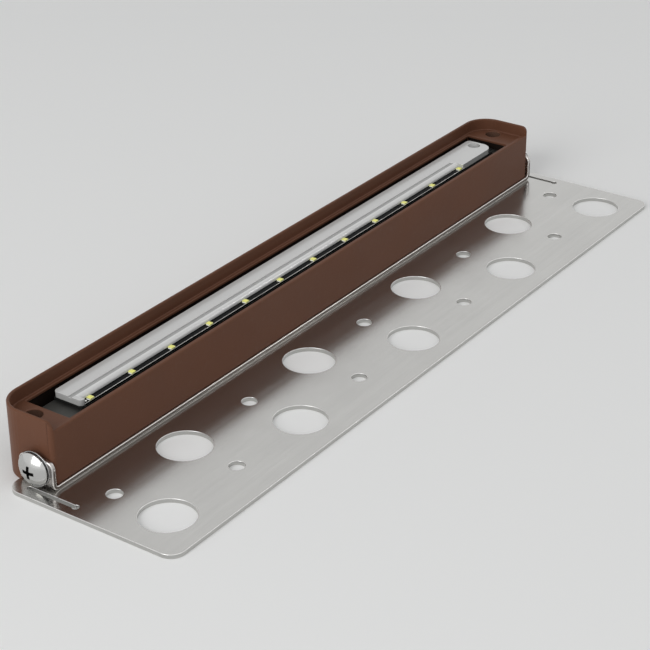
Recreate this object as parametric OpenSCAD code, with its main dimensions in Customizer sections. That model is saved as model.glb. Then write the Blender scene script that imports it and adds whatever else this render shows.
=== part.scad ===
// Hardscape landscape light on a punched steel mounting plate.
// X runs along the plate, +Y from the plate towards the light, +Z up from the surface it lies on.
// Millimetres.

/* [Mounting plate] */
// Distance between two columns of holes
hole_pitch = 34; // [30:0.5:40]
// Number of columns of holes, an odd number
columns = 9; // [5:2:13]
// From the last column of holes to the end of the plate
end_margin = 16.4; // [14:0.1:24]
// Width of the plate
plate_w = 67; // [62:0.5:80]
// Sheet thickness of the plate
plate_t = 1.5; // [1:0.1:2.5]
// Corner radius of the plate
plate_corner = 5; // [1:0.5:8]
// From the front edge to the outer row of holes
front_margin = 15.9; // [12:0.1:18]
// From the outer row of holes to the inner row
row_gap = 20.9; // [20:0.1:23]
// Diameter of the large holes that mortar or adhesive grips
big_hole_d = 18.4; // [12:0.1:19]
// Diameter of the small screw holes
small_hole_d = 5.4; // [3:0.1:7]
// From the end of the plate to the middle of the relief slot
slot_inset = 4.1; // [3:0.1:5]
// Width of the relief slot
slot_w = 1.5; // [1:0.1:2]
// Diameter of the round end of the relief slot
slot_end_d = 2.3; // [2:0.1:3]
// From the inner row of holes to the round end of the relief slot
slot_offset = 4.9; // [3:0.1:6]
// From the back edge of the plate to the end of the relief slot
slot_margin = 6.4; // [4:0.1:12]

/* [Cradle] */
// Width of the steel strip
strip_w = 14; // [12:0.5:16]
// Thickness of the steel strip
strip_t = 1.5; // [1:0.1:2]
// How far the strip shows in front of the housing
strip_show = 0.8; // [0.3:0.1:1.5]
// Gap between an ear and the end of the housing
ear_gap = 0.2; // [0.2:0.05:0.6]
// Inner radius of the bend below an ear
bend_r = 1; // [0.5:0.1:1.5]
// Height of an ear above the plate
ear_h = 10.4; // [9:0.1:12]
// Radius of the two top corners of an ear
ear_corner = 2.8; // [1:0.1:6]
// Height of the end screws above the plate
screw_h = 6.6; // [6:0.1:8]

/* [Housing] */
// From the end of the plate to the end of the housing
housing_inset = 7.8; // [7:0.1:12]
// Width of the housing
housing_w = 24; // [22:0.5:30]
// How far the housing reaches past the back edge of the plate
overhang = 10; // [8:0.5:14]
// Height of the housing from the surface that the plate lies on
housing_h = 25.2; // [24:0.2:32]
// Height of the glare lip above the ledge inside it
lip_rise = 4.7; // [4.1:0.1:6]
// From the top of the glare lip down to the top of the front wall
front_drop = 3.4; // [2:0.1:3.8]
// Thickness of the glare lip
lip_t = 1.1; // [0.8:0.1:1.5]
// Thickness of the front wall
wall_t = 1.5; // [1.2:0.1:2]
// Thickness of the rim around the light opening
rim_t = 1.1; // [0.8:0.1:2]
// Width of the ledge along the back of the light opening
back_ledge = 1.3; // [1:0.1:2]
// Width of the ledge at each end of the light opening
end_ledge = 10.6; // [10:0.1:14]
// How far the inside is cut back under the rim
undercut = 0.9; // [0.5:0.1:1.2]
// Radius of the two upright corners at the back
back_corner = 9.9; // [4:0.1:10.5]
// Radius of the two upright corners at the front
front_corner = 1.5; // [0.5:0.1:3]
// Thickness of the housing's floor
floor_t = 1.5; // [1.2:0.1:2.5]
// Diameter of the blind hole in each end ledge
pocket_d = 6.2; // [4:0.1:8]
// Depth of the blind hole in each end ledge
pocket_depth = 3.5; // [2:0.5:8]
// From the near end of the housing to the middle of the blind hole there
near_pocket_inset = 6.9; // [5:0.1:7]
// From the far end of the housing to the middle of the blind hole there
far_pocket_inset = 5; // [5:0.1:7]
// From the back of the housing to the middle of a blind hole
pocket_back = 10.2; // [10:0.1:13]

/* [Light engine] */
// Depth of the lens's top below the ledge
lens_drop = 0.3; // [0:0.1:1]
// Height of the lens
lens_h = 2.2; // [2:0.1:3]
// Width of the lens
lens_w = 11.8; // [11:0.1:14]
// Gap between the lens and the back of the light opening
lens_back_gap = 2.4; // [1.5:0.1:3]
// Gap between the lens and the near end of the light opening
near_gap = 9.9; // [4:0.1:12]
// Gap between the lens and the far end of the light opening
far_gap = 4.1; // [3:0.1:12]
// Radius of the lens's curved edge behind the light-emitting diodes
nose_r = 1.7; // [1.2:0.1:1.7]
// Width of the groove in the lens behind that edge
groove_w = 1.5; // [1:0.1:2]
// Depth of the groove in the lens
groove_depth = 0.35; // [0.1:0.05:0.5]
// Number of light-emitting diodes
led_count = 12; // [4:1:12]
// Distance between two diodes
led_pitch = 20.15; // [14:0.05:20.5]
// From the near end of the lens to the first diode
led_start = 5.2; // [4:0.1:8]
// Size of a diode along the row
led_l = 1.8; // [1.4:0.1:2.4]
// Size of a diode across the row
led_w = 1.9; // [1.4:0.1:2.2]
// Thickness of the diode board
board_t = 1; // [0.8:0.1:1.2]
// Width of the diode board
board_w = 9.7; // [8:0.1:10]
// Thickness of the dark pad under the lens
pad_t = 1.2; // [0.8:0.1:1.6]
// How far the diode board is let into the pad
board_sink = 0.5; // [0.2:0.1:0.7]
// Thickness of the heat plate
heat_t = 1; // [0.8:0.1:2]

/* [Driver] */
// Length of the driver board
driver_l = 72; // [60:1:90]
// Thickness of the driver board
driver_t = 1.2; // [0.8:0.1:1.6]
// Bore of the cable bush
bush_bore = 4.4; // [3:0.1:5]

/* [End screws] */
// Diameter of the screw's shank
screw_d = 5; // [4:0.1:5]
// Diameter of the domed screw head
head_d = 11.6; // [9:0.1:12.5]
// Height of the dome on the screw head
dome_h = 2.2; // [1.5:0.1:3.5]

/* [Hidden] */
$fn = 64;

// Overrun of a cut past the face that it opens
over = 1;
// Running clearance of a round piece in its hole, on the diameter
fit_gap = 0.1;
// Side clearance of a flat piece in its seat
side_gap = 0.2;

// Plate and rows of holes
plate_l = (columns - 1) * hole_pitch + 2 * end_margin;
bush_flange_t = 1.2;
depth = plate_w + overhang + bush_flange_t;
plate_y0 = -depth / 2;
plate_y1 = plate_y0 + plate_w;
outer_row_y = plate_y0 + front_margin;
inner_row_y = outer_row_y + row_gap;
slot_x = plate_l / 2 - slot_inset;
slot_y0 = inner_row_y + slot_offset;
slot_y1 = plate_y1 - slot_margin;

// Housing: outside, glare lip, ledge, light opening and the room below it
back_y = plate_y1 + overhang;
front_y = back_y - housing_w;
house_x = plate_l / 2 - housing_inset;
seat_z = plate_t + strip_t;
lip_z = housing_h;
ledge_z = lip_z - lip_rise;
wall_z = lip_z - front_drop;
wall_round = 0.6;
lip_x = house_x - lip_t;
lip_y = back_y - lip_t;
open_x = lip_x - end_ledge;
open_y0 = front_y + wall_t;
open_y1 = lip_y - back_ledge;
room_x = open_x + undercut;
room_y1 = open_y1 + undercut;
room_z0 = seat_z + floor_t;
near_pocket_x = near_pocket_inset - house_x;
far_pocket_x = house_x - far_pocket_inset;
pocket_y = back_y - pocket_back;
shelf_l = 8;
shelf_w = 13;
boss_d = 6;
post_d = 5;
post_h = 1.5;

// Cradle and its seat under the housing
strip_y0 = front_y - strip_show;
strip_y1 = strip_y0 + strip_w;
strip_y = (strip_y0 + strip_y1) / 2;
seat_y1 = max(plate_y1, strip_y1) + side_gap;
washer_rim = 0.2;
flat_washer_d = head_d + 2 * washer_rim;
screw_z = plate_t + max(screw_h, flat_washer_d / 2 + side_gap);
ear_x0 = house_x + ear_gap;
ear_x1 = ear_x0 + strip_t;
ear_hole_d = screw_d + 4 * fit_gap;
ear_z = max(plate_t + ear_h, screw_z + ear_hole_d / 2 + bend_r);

// End screw, washers and threaded insert
flat_washer_t = 0.5;
lock_washer_t = 0.6;
lock_washer_d = 9.2;
washer_bore = screw_d + 3 * fit_gap;
lock_slit = 0.8;
head_rim = 0.4;
recess_w = 1.15;
recess_l = 5.2;
recess_depth = 2;
insert_l = 9;
insert_wall = 0.9;
insert_d = screw_d + 2 * insert_wall;
insert_tip = 0.5;
head_x = ear_x1 + flat_washer_t + lock_washer_t;

// Lens, diode board and plates under them
lens_z1 = ledge_z - lens_drop;
lens_z0 = lens_z1 - lens_h;
lens_x0 = -open_x + near_gap;
lens_x1 = open_x - far_gap;
lens_y1 = open_y1 - lens_back_gap;
lens_y0 = lens_y1 - lens_w;
lens_corner = 1.5;
lens_far_corner = 4.5;
lens_end_wall = 1.5;
dimple_d = 5;
dimple_floor_d = 3.6;
dimple_depth = 1.1;
dimple_inset = 3.6;
dimple_back = 4.9;
led_h = 0.5;
led_back_gap = 0.15;
led_front_gap = 0.05;
first_led_x = lens_x0 + led_start;
last_led_x = first_led_x + (led_count - 1) * led_pitch;
board_show = 0.1;
board_tail = 4.1;
window_tail = 1.6;
board_z0 = lens_z0 - board_sink;
board_z1 = board_z0 + board_t;
board_x0 = lens_x0 + lens_end_wall;
board_x1 = last_led_x + board_tail;
board_y0 = lens_y0 - board_show;
board_y1 = board_y0 + board_w;
led_y0 = board_y0 + led_front_gap;
nose_y = led_y0 + led_w + led_back_gap;
groove_land = 0.3;
groove_y0 = nose_y + nose_r + groove_land;
window_x0 = board_x0 + side_gap;
window_x1 = last_led_x + window_tail;
pad_inset = 0.1;
pad_z0 = lens_z0 - pad_t;
heat_z0 = pad_z0 - heat_t;
heat_x = room_x - side_gap;
heat_screw_inset = 15;
heat_screw_back = 4.7;
heat_screw_x = open_x - heat_screw_inset;
heat_screw_y = lens_y1 - heat_screw_back;
heat_screw_d = 2.5;
heat_screw_l = 6;
csk_d = 4.4;
csk_h = 0.8;
key_hole_d = 1;
key_hole_inset = 1.4;
key_hole_front = 1.5;

// Bush that the cable comes in through, and the driver board beside it
bush_inset = 31.9;
bush_gap = 9;
bush_x = open_x - bush_inset;
bush_neck_d = 7;
bush_flange_d = 9.6;
driver_front_gap = 2;
driver_back_gap = 3;
driver_x1 = bush_x - bush_gap;
driver_x0 = driver_x1 - driver_l;
driver_y0 = open_y0 + driver_front_gap;
driver_y1 = room_y1 - driver_back_gap;
driver_y = (driver_y0 + driver_y1) / 2;
driver_z0 = room_z0 + post_h;
driver_z1 = driver_z0 + driver_t;
driver_screw_d = 2.5;
driver_screw_l = 3.8;
driver_head_d = 4.4;
driver_head_h = 1.6;
driver_screw_inset = 3;
screw_room = driver_screw_inset + driver_head_d / 2 + side_gap;

// Leads inside the housing
lead_d = 1.2;
lead_gap = 2.4;
lead_rise = 3;
lead_z = driver_z1 + lead_rise;
lead_hole_d = 5;
led_lead_x = driver_x0 + screw_room + (lead_gap + lead_d) / 2;
led_lead_y = (board_y0 + board_y1) / 2;

// Parts on the driver board, spread evenly between the leads and the terminal block
terminal_size = [7, 10, 6.6];
terminal_inset = 1;
terminal_x1 = driver_x1 - screw_room;
terminal_x0 = terminal_x1 - terminal_size[0];
rectifier_size = [8, 6.4, 2.6];
chip_size = [5, 4, 1.6];
cap_in_d = 7;
cap_in_l = 11;
cap_out_d = 6;
cap_out_l = 9;
can_seat = 0.4;
inductor_d = 9;
inductor_waist_d = 7.6;
inductor_flange = 1;
inductor_h = 5;
parts_x0 = led_lead_x + (lead_gap + lead_d) / 2;
parts_l = rectifier_size[0] + cap_in_d + chip_size[0] + inductor_d + cap_out_d;
part_gap = (terminal_x0 - parts_x0 - parts_l) / 6;
rectifier_x = terminal_x0 - part_gap - rectifier_size[0] / 2;
cap_in_x = rectifier_x - rectifier_size[0] / 2 - part_gap - cap_in_d / 2;
chip_x = cap_in_x - cap_in_d / 2 - part_gap - chip_size[0] / 2;
inductor_x = chip_x - chip_size[0] / 2 - part_gap - inductor_d / 2;
cap_out_x = inductor_x - inductor_d / 2 - part_gap - cap_out_d / 2;

// A box between two opposite corners
module block(low, high) {
    translate(low) cube(high - low);
}

// A rectangle with rounded corners: radii of the front-left, front-right, back-right and back-left
module rounded_rect(low, high, radii) {
    difference() {
        translate(low) square(high - low);
        corner_waste(low[0], low[1], 1, 1, radii[0]);
        corner_waste(high[0], low[1], -1, 1, radii[1]);
        corner_waste(high[0], high[1], -1, -1, radii[2]);
        corner_waste(low[0], high[1], 1, -1, radii[3]);
    }
}

// What a radius takes off a corner whose sides run towards sx and sy
module corner_waste(x, y, sx, sy, r) {
    translate([x, y]) scale([sx, sy]) difference() {
        translate([-over, -over]) square(r + over);
        translate([r, r]) circle(r);
    }
}

// A cylinder along X from x0 to x1
module rod_x(x0, x1, y, z, d) {
    translate([x0, y, z]) rotate([0, 90, 0]) cylinder(d = d, h = x1 - x0);
}

// A round wire through a list of points
module wire(points, d) {
    for (i = [1:len(points) - 1]) {
        step = points[i] - points[i - 1];
        translate(points[i - 1])
            rotate([0, acos(step[2] / norm(step)), atan2(step[1], step[0])])
                cylinder(d = d, h = norm(step), $fn = 24);
        if (i < len(points) - 1) translate(points[i]) sphere(d = d, $fn = 24);
    }
}

// Puts its children at both ends of the light, the near one mirrored
module both_ends() {
    children();
    mirror([1, 0, 0]) children();
}

module mounting_plate() {
    color("#bfbfb8") difference() {
        linear_extrude(plate_t) rounded_rect([-plate_l / 2, plate_y0], [plate_l / 2, plate_y1],
            plate_corner * [1, 1, 1, 1]);
        for (column = [0:columns - 1]) {
            x = (column - (columns - 1) / 2) * hole_pitch;
            even = column % 2 == 0;
            plate_hole(x, outer_row_y, even ? big_hole_d : small_hole_d);
            plate_hole(x, inner_row_y, even ? small_hole_d : big_hole_d);
        }
        both_ends() relief_slot();
    }
}

module plate_hole(x, y, d) {
    translate([x, y, -over]) cylinder(d = d, h = plate_t + 2 * over);
}

module relief_slot() {
    block([slot_x - slot_w / 2, slot_y0, -over], [slot_x + slot_w / 2, slot_y1, plate_t + over]);
    plate_hole(slot_x, slot_y0, slot_end_d);
    plate_hole(slot_x, slot_y1, slot_w);
}

// A flat strip bent up at both ends into ears
module cradle() {
    bend_x = ear_x0 - bend_r;
    bend_z = seat_z + bend_r;
    color("#c9c9c4") difference() {
        union() {
            block([-bend_x, strip_y0, plate_t], [bend_x, strip_y1, seat_z]);
            both_ends() {
                bend(bend_x, bend_z);
                ear(bend_z);
            }
        }
        both_ends() rod_x(ear_x0 - over, ear_x1 + over, strip_y, screw_z, ear_hole_d);
    }
}

// An upright tab with two rounded top corners
module ear(z0) {
    r = min(ear_corner, strip_w / 2 - side_gap);
    translate([ear_x0, 0, 0]) rotate([90, 0, 90]) linear_extrude(strip_t) difference() {
        translate([strip_y0, z0]) square([strip_w, ear_z - z0]);
        corner_waste(strip_y0, ear_z, 1, -1, r);
        corner_waste(strip_y1, ear_z, -1, -1, r);
    }
}

module bend(x, z) {
    intersection() {
        translate([x, strip_y0, z]) rotate([-90, 0, 0]) difference() {
            cylinder(r = bend_r + strip_t, h = strip_w);
            translate([0, 0, -over]) cylinder(r = bend_r, h = strip_w + 2 * over);
        }
        block([x, strip_y0, plate_t], [x + bend_r + strip_t, strip_y1, z]);
    }
}

module housing() {
    color("#4f3329") difference() {
        union() {
            housing_shell();
            both_ends() {
                block([room_x - shelf_l, open_y0 - wall_t / 2, seat_z],
                    [room_x + undercut, open_y0 + shelf_w, heat_z0]);
                translate([heat_screw_x, heat_screw_y, seat_z]) cylinder(d = boss_d, h = heat_z0 - seat_z);
            }
            driver_screw_places() translate([0, 0, seat_z]) cylinder(d = post_d, h = driver_z0 - seat_z);
        }
        both_ends() {
            rod_x(house_x - insert_l - insert_tip, house_x + over, strip_y, screw_z, insert_d + fit_gap);
            translate([heat_screw_x, heat_screw_y, heat_z0 - heat_screw_l])
                cylinder(d = heat_screw_d + fit_gap, h = heat_screw_l + over);
        }
        for (x = [near_pocket_x, far_pocket_x]) translate([x, pocket_y, ledge_z - pocket_depth])
            cylinder(d = pocket_d, h = pocket_depth + over);
        driver_screw_places() translate([0, 0, driver_z1 - driver_screw_l])
            cylinder(d = driver_screw_d + fit_gap, h = driver_screw_l + over);
        translate([bush_x, back_y + over, lead_z]) rotate([90, 0, 0])
            cylinder(d = bush_neck_d + fit_gap, h = back_y - room_y1 + 2 * over);
    }
}

// The shell with its seat for the plate, its room and the glare lip round three sides
module housing_shell() {
    difference() {
        union() {
            linear_extrude(ledge_z) rounded_rect([-house_x, front_y], [house_x, back_y],
                [front_corner, front_corner, back_corner, back_corner]);
            front_wall_top();
            glare_lip();
        }
        block([-house_x - over, front_y - over, -over], [house_x + over, seat_y1, seat_z]);
        both_ends() seat_chamfer();
        block([-room_x, open_y0, room_z0], [room_x, room_y1, ledge_z - rim_t]);
        block([-open_x, open_y0, room_z0], [open_x, open_y1, ledge_z + over]);
    }
}

// Bottom edge of each end, cut back to clear the inside of the bend
module seat_chamfer() {
    cut = bend_r + side_gap;
    translate([0, seat_y1, 0]) rotate([90, 0, 0]) linear_extrude(seat_y1 - front_y + over) polygon([
        [house_x - cut, seat_z - over / 2], [house_x - cut, seat_z], [house_x, seat_z + cut],
        [house_x + over, seat_z + cut], [house_x + over, seat_z - over / 2]
    ]);
}

// Front wall above the ledge, with a rounded outer edge
module front_wall_top() {
    intersection() {
        linear_extrude(wall_z) rounded_rect([-house_x, front_y], [house_x, back_y],
            [front_corner, front_corner, back_corner, back_corner]);
        union() {
            block([-house_x, front_y, seat_z + over], [house_x, open_y0, wall_z - wall_round]);
            block([-house_x, front_y + wall_round, seat_z + over], [house_x, open_y0, wall_z]);
            rod_x(-house_x, house_x, front_y + wall_round, wall_z - wall_round, 2 * wall_round);
        }
    }
}

// Section of the glare lip: an upright band with a round top, its outer face on the X = 0 line
module lip_section(z0) {
    translate([-lip_t, z0]) square([lip_t, lip_z - lip_t / 2 - z0]);
    translate([-lip_t / 2, lip_z - lip_t / 2]) circle(d = lip_t);
}

// The lip runs along one end, round the back corner, along the back and back round to the other end
module glare_lip() {
    root_z = ledge_z - rim_t / 2;
    back_l = 2 * (house_x - back_corner);
    translate([-back_l / 2, back_y, 0]) rotate([90, 0, 90]) linear_extrude(back_l) lip_section(root_z);
    both_ends() {
        translate([house_x - back_corner, back_y - back_corner, 0])
            rotate_extrude(angle = 90) translate([back_corner, 0]) lip_section(root_z);
        intersection() {
            translate([house_x, back_y - back_corner, 0]) rotate([90, 0, 0])
                linear_extrude(housing_w - back_corner) lip_section(root_z);
            lip_end_outline();
            linear_extrude(lip_z + over) rounded_rect([-house_x, front_y], [house_x, back_y],
                [front_corner, front_corner, back_corner, back_corner]);
        }
    }
}

// Side view of an end of the lip: its front corner rounds down to the front wall
module lip_end_outline() {
    round_r = front_drop;
    union() {
        block([0, front_y, 0], [house_x + over, back_y, lip_z - round_r]);
        block([0, front_y + round_r, 0], [house_x + over, back_y, lip_z + over]);
        rod_x(0, house_x + over, front_y + round_r, lip_z - round_r, 2 * round_r);
    }
}

// A moulded bar with a window over the diodes, whose inner edge is a quarter round
module lens() {
    color("#d4d4d0") difference() {
        translate([0, 0, lens_z0]) linear_extrude(lens_h)
            rounded_rect([lens_x0, lens_y0], [lens_x1, lens_y1],
                [lens_corner, lens_far_corner, lens_corner, lens_corner]);
        block([board_x0 - side_gap / 2, lens_y0 - over, lens_z0 - over],
            [board_x1 + side_gap / 2, board_y1 + side_gap / 2, board_z1 + side_gap / 2]);
        difference() {
            block([window_x0, lens_y0 - over, lens_z0 - over],
                [window_x1, nose_y + nose_r, lens_z1 + over]);
            rod_x(window_x0 - over, window_x1 + over, nose_y + nose_r, lens_z1 - nose_r, 2 * nose_r);
        }
        lens_groove();
        translate([lens_x1 - dimple_inset, lens_y1 - dimple_back, lens_z1 - dimple_depth]) {
            cylinder(d1 = dimple_floor_d, d2 = dimple_d, h = dimple_depth);
            translate([0, 0, dimple_depth]) cylinder(d = dimple_d, h = over);
        }
    }
}

// The shallow groove behind the curved edge, with a round end at the last diode
module lens_groove() {
    z = lens_z1 - groove_depth;
    block([lens_x0 - over, groove_y0, z], [last_led_x, groove_y0 + groove_w, lens_z1 + over]);
    translate([last_led_x, groove_y0 + groove_w / 2, z]) cylinder(d = groove_w, h = groove_depth + over);
}

// A foam pad between the lens and the heat plate, with a seat for the diode board
module lens_pad() {
    color("#141414") difference() {
        block([lens_x0 + pad_inset, board_y0 + pad_inset, pad_z0],
            [lens_x1 - pad_inset, lens_y1 - pad_inset, lens_z0]);
        block([board_x0 - side_gap / 2, board_y0 - over, board_z0],
            [board_x1 + side_gap / 2, board_y1 + side_gap / 2, lens_z0 + over]);
        led_lead_hole(pad_z0, pad_t);
        both_ends() translate([heat_screw_x, heat_screw_y, pad_z0 - over])
            cylinder(d = csk_d + side_gap, h = over);
    }
}

module led_board() {
    color("#15181c") block([board_x0, board_y0, board_z0], [board_x1, board_y1, board_z1]);
}

module leds() {
    color("#f2e27a") for (i = [0:led_count - 1])
        translate([first_led_x + i * led_pitch - led_l / 2, led_y0, board_z1]) cube([led_l, led_w, led_h]);
}

module led_lead_hole(z, t) {
    translate([led_lead_x, led_lead_y, z - over]) cylinder(d = lead_hole_d, h = t + 2 * over);
}

module heat_plate() {
    color("#5b5b59") difference() {
        block([-heat_x, open_y0 + side_gap, heat_z0], [heat_x, lens_y1, pad_z0]);
        led_lead_hole(heat_z0, heat_t);
        translate([open_x - key_hole_inset, lens_y0 + key_hole_front, heat_z0 - over])
            cylinder(d = key_hole_d, h = heat_t + 2 * over);
        both_ends() translate([heat_screw_x, heat_screw_y, 0]) {
            translate([0, 0, heat_z0 - over]) cylinder(d = heat_screw_d + fit_gap, h = heat_t + 2 * over);
            translate([0, 0, pad_z0 - csk_h])
                cylinder(d1 = heat_screw_d + fit_gap, d2 = csk_d + fit_gap, h = csk_h);
        }
    }
}

module heat_plate_screws() {
    color("#9a9a9a") both_ends() translate([heat_screw_x, heat_screw_y, 0]) difference() {
        union() {
            translate([0, 0, heat_z0 - heat_screw_l + over])
                cylinder(d = heat_screw_d, h = heat_screw_l + heat_t - over - csk_h);
            translate([0, 0, pad_z0 - csk_h]) cylinder(d1 = heat_screw_d, d2 = csk_d, h = csk_h);
        }
        translate([-csk_d / 2, -csk_h / 4, pad_z0 - csk_h / 2]) cube([csk_d, csk_h / 2, csk_h]);
    }
}

module driver_screw_places() {
    for (x = [driver_x0 + driver_screw_inset, driver_x1 - driver_screw_inset])
        translate([x, driver_y0 + driver_screw_inset, 0]) children();
}

module driver_board() {
    color("#2c5a34") difference() {
        block([driver_x0, driver_y0, driver_z0], [driver_x1, driver_y1, driver_z1]);
        driver_screw_places() translate([0, 0, driver_z0 - over])
            cylinder(d = driver_screw_d + fit_gap, h = driver_t + 2 * over);
    }
}

module driver_board_screws() {
    color("#a8a8a8") driver_screw_places() {
        translate([0, 0, driver_z1 - driver_screw_l + side_gap])
            cylinder(d = driver_screw_d, h = driver_screw_l - side_gap);
        translate([0, 0, driver_z1]) difference() {
            cylinder(d = driver_head_d, h = driver_head_h);
            translate([-driver_head_d / 2, -driver_head_h / 5, driver_head_h / 2])
                cube([driver_head_d, 2 * driver_head_h / 5, driver_head_h]);
        }
    }
}

module terminal_block() {
    color("#2f6f4a") translate([terminal_x0, driver_y1 - terminal_inset - terminal_size[1], driver_z1])
        cube(terminal_size);
}

// A chip-like part standing on the driver board, centred at x and y
module on_driver(x, y, size) {
    translate([x - size[0] / 2, y - size[1] / 2, driver_z1]) cube(size);
}

module bridge_rectifier() {
    color("#1b1b1b") on_driver(rectifier_x, driver_y, rectifier_size);
}

module driver_chip() {
    color("#1b1b1b") on_driver(chip_x, driver_y, chip_size);
}

// A can capacitor lying across the board, with a flat where it is glued down
module lying_can(x, d, l) {
    difference() {
        translate([x, driver_y - l / 2, driver_z1 + d / 2 - can_seat])
            rotate([-90, 0, 0]) cylinder(d = d, h = l);
        block([x - d, driver_y - l, driver_z1 - d], [x + d, driver_y + l, driver_z1]);
    }
}

module input_capacitor() {
    color("#23324d") lying_can(cap_in_x, cap_in_d, cap_in_l);
}

module output_capacitor() {
    color("#23324d") lying_can(cap_out_x, cap_out_d, cap_out_l);
}

module inductor() {
    color("#3a3a3c") translate([inductor_x, driver_y, driver_z1]) rotate_extrude() difference() {
        square([inductor_d / 2, inductor_h]);
        translate([inductor_waist_d / 2, inductor_flange]) square([inductor_d, inductor_h - 2 * inductor_flange]);
    }
}

// Two leads from the bush to the terminal block
module supply_leads() {
    color("#7a2020") for (side = [-1, 1]) {
        x = bush_x + side * lead_gap / 2;
        y = driver_y1 - terminal_inset - terminal_size[1] / 2 - side * lead_gap;
        wire([[x, room_y1 - bush_flange_t, lead_z], [x, y, lead_z], [terminal_x1, y, lead_z]], lead_d);
    }
}

// Two leads from the driver board up to the underside of the diode board
module led_leads() {
    color("#8c1d1d") for (side = [-1, 1]) {
        x = led_lead_x + side * lead_gap / 2;
        wire([[x, led_lead_y, driver_z1], [x, led_lead_y, board_z0]], lead_d);
    }
}

// A rubber bush with a flange on both sides of the back wall
module cable_bush() {
    back_wall_t = back_y - room_y1;
    bush_l = back_wall_t + 2 * bush_flange_t;
    color("#191919") translate([bush_x, back_y + bush_flange_t, lead_z]) rotate([90, 0, 0]) difference() {
        union() {
            cylinder(d = bush_flange_d, h = bush_flange_t);
            cylinder(d = bush_neck_d, h = bush_l);
            translate([0, 0, bush_flange_t + back_wall_t]) cylinder(d = bush_flange_d, h = bush_flange_t);
        }
        translate([0, 0, -over]) cylinder(d = bush_bore, h = bush_l + 2 * over);
    }
}

// A machine screw with a domed head and a cross recess, pointing into the far end
module end_screw() {
    sphere_r = (pow(head_d / 2, 2) + pow(dome_h, 2)) / (2 * dome_h);
    difference() {
        union() {
            rod_x(house_x - insert_l, head_x, strip_y, screw_z, screw_d);
            translate([head_x, strip_y, screw_z]) rotate([0, 90, 0]) rotate_extrude() {
                square([head_d / 2, head_rim]);
                intersection() {
                    translate([0, head_rim + dome_h - sphere_r]) circle(sphere_r);
                    translate([0, head_rim / 2]) square([head_d / 2, head_rim + dome_h]);
                }
            }
        }
        cross_recess(head_x + head_rim + dome_h);
    }
}

module cross_recess(x) {
    intersection() {
        union() {
            block([x - recess_depth, strip_y - recess_l / 2, screw_z - recess_w / 2],
                [x + over, strip_y + recess_l / 2, screw_z + recess_w / 2]);
            block([x - recess_depth, strip_y - recess_w / 2, screw_z - recess_l / 2],
                [x + over, strip_y + recess_w / 2, screw_z + recess_l / 2]);
        }
        translate([x - recess_depth, strip_y, screw_z]) rotate([0, 90, 0])
            cylinder(d1 = 2 * recess_w, d2 = recess_l + over, h = recess_depth + over);
    }
}

module far_end_screw() {
    color("#d8d8d8") end_screw();
}

module near_end_screw() {
    color("#d8d8d8") mirror([1, 0, 0]) end_screw();
}

module flat_washer() {
    difference() {
        rod_x(ear_x1, ear_x1 + flat_washer_t, strip_y, screw_z, flat_washer_d);
        rod_x(ear_x1 - over, ear_x1 + flat_washer_t + over, strip_y, screw_z, washer_bore);
    }
}

module far_flat_washer() {
    color("#d0d0d0") flat_washer();
}

module near_flat_washer() {
    color("#d0d0d0") mirror([1, 0, 0]) flat_washer();
}

// A split spring washer, pressed flat
module lock_washer() {
    x0 = ear_x1 + flat_washer_t;
    half_l = lock_washer_t + over;
    difference() {
        rod_x(x0, head_x, strip_y, screw_z, lock_washer_d);
        rod_x(x0 - over, head_x + over, strip_y, screw_z, washer_bore);
        translate([(x0 + head_x) / 2, strip_y, screw_z]) rotate([0, 0, 30])
            block([-half_l, -lock_slit / 2, 0], [half_l, lock_slit / 2, lock_washer_d]);
    }
}

module far_lock_washer() {
    color("#bcbcbc") lock_washer();
}

module near_lock_washer() {
    color("#bcbcbc") mirror([1, 0, 0]) lock_washer();
}

module insert() {
    difference() {
        rod_x(house_x - insert_l, house_x, strip_y, screw_z, insert_d);
        rod_x(house_x - insert_l - over, house_x + over, strip_y, screw_z, screw_d + fit_gap);
    }
}

module far_insert() {
    color("#b5924c") insert();
}

module near_insert() {
    color("#b5924c") mirror([1, 0, 0]) insert();
}

mounting_plate();
cradle();
housing();
lens();
lens_pad();
led_board();
leds();
heat_plate();
heat_plate_screws();
driver_board();
driver_board_screws();
terminal_block();
bridge_rectifier();
input_capacitor();
output_capacitor();
inductor();
driver_chip();
supply_leads();
led_leads();
cable_bush();
near_end_screw();
far_end_screw();
near_lock_washer();
far_lock_washer();
near_flat_washer();
far_flat_washer();
near_insert();
far_insert();
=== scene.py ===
import math

import bmesh
import bpy
from mathutils import Matrix, Vector


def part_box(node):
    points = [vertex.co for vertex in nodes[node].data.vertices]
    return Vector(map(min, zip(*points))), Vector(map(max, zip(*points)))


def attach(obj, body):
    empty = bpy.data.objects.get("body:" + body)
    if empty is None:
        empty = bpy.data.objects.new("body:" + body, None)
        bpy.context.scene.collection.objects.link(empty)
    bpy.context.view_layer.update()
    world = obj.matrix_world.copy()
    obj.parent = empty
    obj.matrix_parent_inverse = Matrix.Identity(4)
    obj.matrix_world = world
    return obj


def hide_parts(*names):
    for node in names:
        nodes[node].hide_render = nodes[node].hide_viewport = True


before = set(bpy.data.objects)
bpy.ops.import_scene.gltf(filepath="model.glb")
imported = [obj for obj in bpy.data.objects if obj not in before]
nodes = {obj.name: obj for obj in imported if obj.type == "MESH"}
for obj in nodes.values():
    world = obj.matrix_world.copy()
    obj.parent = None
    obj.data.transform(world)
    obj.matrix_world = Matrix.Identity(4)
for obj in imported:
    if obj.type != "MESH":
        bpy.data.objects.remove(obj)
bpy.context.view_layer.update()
mm = 0.001
print("frame loaded:", len(nodes), "nodes")


# Shader groups

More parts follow.
